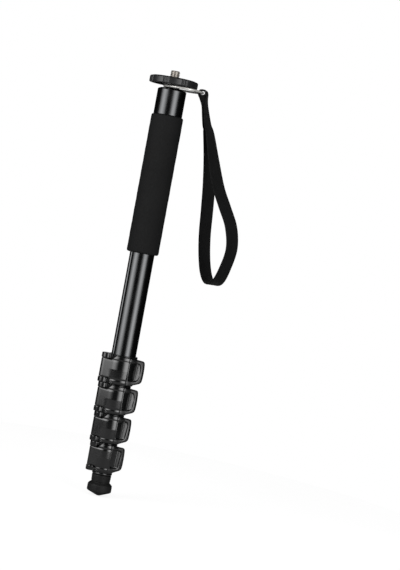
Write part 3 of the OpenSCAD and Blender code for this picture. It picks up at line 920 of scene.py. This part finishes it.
def lever_outer(ro, z):
    """The shell's radius at a height, with its taper: round at top and bottom, with two shallow valleys."""
    rise = np.clip((z - (LOCK_H - 5.0)) / 4.8, 0, 1)
    sink = np.clip((3.5 - z) / 3.5, 0, 1)
    taper = 1.3 * np.clip((LOCK_H / 2 - z) / (LOCK_H / 2), 0, 1)
    valley = np.exp(-((z - 0.815 * LOCK_H) / 0.85) ** 2) + 0.8 * np.exp(-((z - 0.165 * LOCK_H) / 0.8) ** 2)
    round_off = 1.9 * (1 - np.sqrt(1 - rise * rise)) + 0.6 * (1 - np.sqrt(1 - sink * sink))
    return ro - taper - round_off - 0.35 * valley, taper


def lever_field(k):
    """Distance field of a lever, with the corners of its box."""
    r = TUBE_R[k]
    ro, tip = r + LEVER_OUT, r + TAB_TIP_OUT
    hinge = hinge_of(k)
    reach = np.linalg.norm(hinge)
    ax, ay = -hinge / reach
    a = polar(ro - 0.02, 300)
    b = a + polar((r + TAB_RUN_OUT - a[0]) / math.cos(math.radians(30)), 30)
    tab = [(0, 0), a, b, (tip - 0.6, b[1] + 1.1), (tip, b[1] + 2.6), (tip - 0.5, b[1] + 4.2),
           (r + 6.5, b[1] + 4.4), polar(ro - 0.3, 347)]
    mouth = rounded([(x * tip, z * LOCK_H) for x, z in POCKET_MOUTH], 5.0, 3, closed=True)
    front = lever_front(r)
    lo, hi = EAR_LO + EAR_GAP, EAR_HI - EAR_GAP
    floor = ro - 0.6
    wall_at = polar(floor, 339.5)
    wall_turn = math.radians(20.5)
    wall = np.array([-math.sin(wall_turn), -math.cos(wall_turn), 0.08])
    wall /= np.linalg.norm(wall)
    shell_start, shell_stop = 247, 345
    blend = 0.4 * ro

    def field(x, y, z):
        radius = np.hypot(x, y)
        outer, taper = lever_outer(ro, z)
        bearing = np.degrees(np.arctan2(y, x)) % 360
        beyond = np.maximum(shell_start - bearing, bearing - shell_stop)
        beyond = np.where(bearing < 90, bearing + 360 - shell_stop, beyond)
        shell = smooth_max(radius - outer, np.radians(beyond) * np.maximum(radius, 4.0), 1.0)

        # The arm: a sweep from the barrel's circle to the shell's, seen along the pin
        along = (x - hinge[0]) * ax + (y - hinge[1]) * ay
        across = (x - hinge[0]) * ay - (y - hinge[1]) * ax
        flat = np.clip((-blend - x) / blend, 0, 1)
        front_r = outer + taper * flat * flat * (3 - 2 * flat)
        fall = (BARREL_R - front_r) / reach
        lean = np.sqrt(1 - fall * fall)
        share = along * lean - across * fall
        arm = across * lean + along * fall - BARREL_R
        arm = np.where(share > lean * reach, radius - front_r, arm)
        arm = np.where(share < 0, np.hypot(along, across) - BARREL_R, arm)
        arm = np.maximum(arm, np.maximum(-across, x + 2.0))

        # Arm, shell and tab, cut to the outline and round the ears
        body = smooth_min(np.minimum(shell, arm), polygon_distance(x, y, tab), 2.2)
        body = smooth_max(body, r + LEVER_IN - radius, 0.6)
        edge = 0.9 + 0.6 * np.clip((x + blend) / blend, 0, 1)
        body = smooth_max(body, polygon_distance(x, z, front), edge)
        to_pin = np.hypot(x - hinge[0], y - hinge[1])
        clear = np.minimum(ear_reach(r, z) + 0.5 - to_pin, np.maximum(lo - z, z - hi))
        body = smooth_max(body, clear, 0.4)
        barrel = smooth_max(to_pin - BARREL_R, np.abs(z - (lo + hi) / 2) - (hi - lo) / 2, 0.7)
        body = smooth_min(body, barrel, 0.5)

        # The finger pocket and the bore for the pin
        ramp = (wall_at[0] - x) * wall[0] + (wall_at[1] - y) * wall[1] + (LOCK_H / 2 - z) * wall[2]
        hollow = smooth_max(ramp, np.maximum(floor - radius, a[0] + 0.5 - x), 0.9)
        hollow = smooth_max(hollow, polygon_distance(x, z, mouth), 0.9)
        body = smooth_max(body, -hollow, 1.0)
        return np.maximum(body, LEVER_BORE_R - to_pin)

    return field, (hinge[0] - 4.4, -(ro + 8.0), 0.0), (tip + 0.6, 3.0, LOCK_H)


def collar_field(k):
    """Distance field of a collar with its two ears, with the corners of its box; the last has a skirt."""
    r = TUBE_R[k]
    cr, ro = r + COLLAR_OUT, r + LEVER_OUT
    hinge = hinge_of(k)
    ux, uy = hinge / np.linalg.norm(hinge)
    low = -SKIRT if k == LOCKS[-1] else 0.0
    plan = [hinge + polar(4.4, 120), hinge + polar(3.4, 300), hinge + polar(5.4, 318), polar(ro - 1.1, 236),
            polar(ro - 0.5, 246), polar(ro - 0.5, 258), (0, 0)]
    knuckle_x, knuckle_y, knuckle_r = hinge[0] + 0.8, hinge[1] - 0.3, 5.1
    bead_r, bead_z = 1.25, -1.65
    pad_half_width, pad_half_height, pad_z = 2.9, 3.7, 11.31

    def field(x, y, z):
        radius = np.hypot(x, y)
        to_pin = np.hypot(x - hinge[0], y - hinge[1])
        barrel = smooth_max(radius - cr + 0.8 * (z < -0.4), np.maximum(low - z, z - LOCK_H), 0.8)
        if low < 0:
            bead = np.hypot(radius - (cr - bead_r), z - bead_z) - bead_r
            barrel = smooth_min(barrel, bead, 0.3)

        # The ears, cut back for the lever's shoulders and barrel
        knuckle = np.hypot(x - knuckle_x, y - knuckle_y) - knuckle_r
        ear = smooth_min(knuckle, polygon_distance(x, y, plan), 0.8)
        ear = smooth_max(ear, (x - slant_x(r, z) + 0.5) * 0.85, 0.9)
        ear = smooth_max(ear, (to_pin - ear_reach(r, z)) * 0.85, 0.6)
        top = smooth_max(ear, np.maximum(EAR_HI - z, z - LOCK_H), 0.8)
        base = smooth_max(ear, np.maximum(-z, z - EAR_LO), 0.8)
        body = smooth_min(barrel, smooth_min(top, base, 0.2), 0.5)
        between = (z >= EAR_LO) & (z <= EAR_HI)
        body = smooth_max(body, np.where(between, BARREL_ROOM_R - to_pin, -100.0), 0.1)

        # The seat of the tube, the bore for the next one, the pad's window and the pin's holes
        seat = np.maximum(radius - (r + 0.03), 1.2 - z)
        outlet = radius - (r - 1.15)
        window = np.maximum(np.abs(-x * uy + y * ux) - pad_half_width, np.abs(z - pad_z) - pad_half_height)
        window = np.maximum(window, -(x * ux + y * uy))
        cut = np.minimum(np.minimum(seat, outlet), np.minimum(window, to_pin - COLLAR_BORE_R))
        return smooth_max(body, -cut, 0.25)

    return field, (hinge[0] - 4.8, -(ro + 0.6), low), (cr + 0.6, cr + 0.6, LOCK_H)


def moulded(name, shape, k, material, body, node):
    """A piece of lock k that takes the place of a node; shape gives its field and box."""
    verts, faces = surface_net(*shape(k), MOULD_STEP)
    verts[:, 2] += LOCK_Z[k]
    add_mesh(name, verts, faces, material, body, [node])


for number in LOCKS:
    moulded(f"lever_{number}_moulded", lever_field, number, LEVER, f"lever_{number}",
            f"lock_lever_{number}")
    moulded(f"lock_collar_{number}_moulded", collar_field, number, COLLAR, f"section_{number}",
            f"lock_collar_{number}")


# Floor, light and camera

def make_floor():
    """A white disc that takes the object's shadow and hardly shows in reflections."""
    m = Nodes("floor")
    m.set(Roughness=0.85, Specular_IOR_Level=0.2)
    white, mirrored = 0.875, 0.04
    cloud = m.noise(6.0, 3.0)
    m.feed("Base Color", m.ramp(cloud, [(0.3, grey(0.24)), (0.7, grey(0.26))]))
    path = m.add("ShaderNodeLightPath").outputs
    direct = m.math("MAXIMUM", path["Is Camera Ray"], path["Is Transmission Ray"])
    seen = m.math("MAXIMUM", direct, m.math("MULTIPLY", path["Is Glossy Ray"], mirrored))
    m.set(Emission_Color=(1, 1, 1, 1))
    m.feed("Emission Strength", m.math("MULTIPLY", seen, white))
    radius, around = 0.42, 120
    rim = [(*polar(radius, 360 / around * i), 0.0) for i in range(around)]
    mesh = bpy.data.meshes.new("floor")
    mesh.from_pydata(rim, [], [list(range(around))])
    mesh.materials.append(m.material)
    floor = bpy.data.objects.new("floor", mesh)
    scene.collection.objects.link(floor)


def make_world():
    """White where the camera looks and behind the object in reflections, dim elsewhere."""
    world = bpy.data.worlds.new("studio")
    scene.world = world
    n = Tree(world)
    path = n.add("ShaderNodeLightPath").outputs
    seen = n.math("MAXIMUM", path["Is Camera Ray"], path["Is Transmission Ray"])
    place = n.add("ShaderNodeTexCoord").outputs["Generated"]
    depth = n.add("ShaderNodeSeparateXYZ", {"Vector": place}).outputs["Y"]
    dim, bright, fill = 0.01, 0.5, 0.3
    behind = n.range(depth, dim, bright, 0.95, 1.0, "SMOOTHSTEP")
    mirrored = n.math("MULTIPLY", path["Is Glossy Ray"], behind)
    both = n.math("MAXIMUM", seen, mirrored)
    n.strength("Background", n.math("MULTIPLY_ADD", path["Is Diffuse Ray"], fill, both))
    n.tree.nodes["Background"].inputs["Color"].default_value = (1, 1, 1, 1)


def softbox(name, azimuth, distance, height, size, radiance, fade):
    """A tall soft lamp that faces the object; azimuth is to the right of the camera, in degrees.

    It is brightest along its middle line, and comes up from its lower edge over a share of its height.
    """
    lamp = bpy.data.lights.new(name, "AREA")
    lamp.shape = "RECTANGLE"
    lamp.size, lamp.size_y = size
    lamp.energy = radiance * math.pi * size[0] * size[1]
    n = Tree(lamp)
    spot = n.add("ShaderNodeNewGeometry").outputs["Parametric"]
    at = n.add("ShaderNodeSeparateXYZ", {"Vector": spot}).outputs
    middle = n.range(n.math("PINGPONG", at["X"], 0.5), 0.0, 1.0, 0.0, 0.5, "SMOOTHSTEP")
    rise = n.range(at["Y"], 0.0, 1.0, 0.0, fade, "SMOOTHSTEP")
    n.strength("Emission", n.math("MULTIPLY", middle, rise))
    obj = bpy.data.objects.new(name, lamp)
    scene.collection.objects.link(obj)
    a = math.radians(azimuth)
    place = Vector((distance * math.sin(a), -distance * math.cos(a), height))
    obj.location = place
    obj.rotation_euler = (Vector((0, 0, height)) - place).to_track_quat("-Z", "Y").to_euler()


def make_camera():
    """A camera that leans to its side, so that the leg slopes as in the photograph."""
    focal_pixels, picture_height = 1730.0, 570.0
    middle_x, distance, eye_height, aim_height = 0.0625, 1.73, 0.300, 0.2268
    lean = math.radians(10.49)
    data = bpy.data.cameras.new("camera")
    data.sensor_fit = "VERTICAL"
    data.sensor_height = 36.0
    data.lens = data.sensor_height * focal_pixels / picture_height
    data.clip_start = 0.05
    data.clip_end = 30.0
    camera = bpy.data.objects.new("camera", data)
    scene.collection.objects.link(camera)
    place = Vector((middle_x, -distance, eye_height))
    ahead = (Vector((middle_x, 0.0, aim_height)) - place).normalized()
    right = ahead.cross(Vector((0, 0, 1))).normalized()
    up = right.cross(ahead)
    side = right * math.cos(lean) + up * math.sin(lean)
    top = up * math.cos(lean) - right * math.sin(lean)
    turn = Matrix((side, top, -ahead)).transposed()
    camera.matrix_world = Matrix.Translation(place) @ turn.to_4x4()
    scene.camera = camera


make_floor()
make_world()
softbox("lamp_left", azimuth=-52.5, distance=0.62, height=0.4675, size=(0.84, 0.945), radiance=2.65,
        fade=0.128)
softbox("lamp_right", azimuth=37.5, distance=1.2, height=0.5, size=(1.36, 1.5), radiance=2.7, fade=0.01)
make_camera()
scene.view_settings.view_transform = "Standard"

# Materials on the solids that stay

FINISH = {"lock_liner": GUIDE, "hinge_pin": STEEL, "guide_bush": GUIDE, "brake_pad": RUBBER,
          "foot_plug": GUIDE, "retaining_clip": STEEL, "top_cap": COLLAR}
for name, obj in nodes.items():
    for start, material in FINISH.items():
        if name.startswith(start):
            obj.data.materials.clear()
            obj.data.materials.append(material)
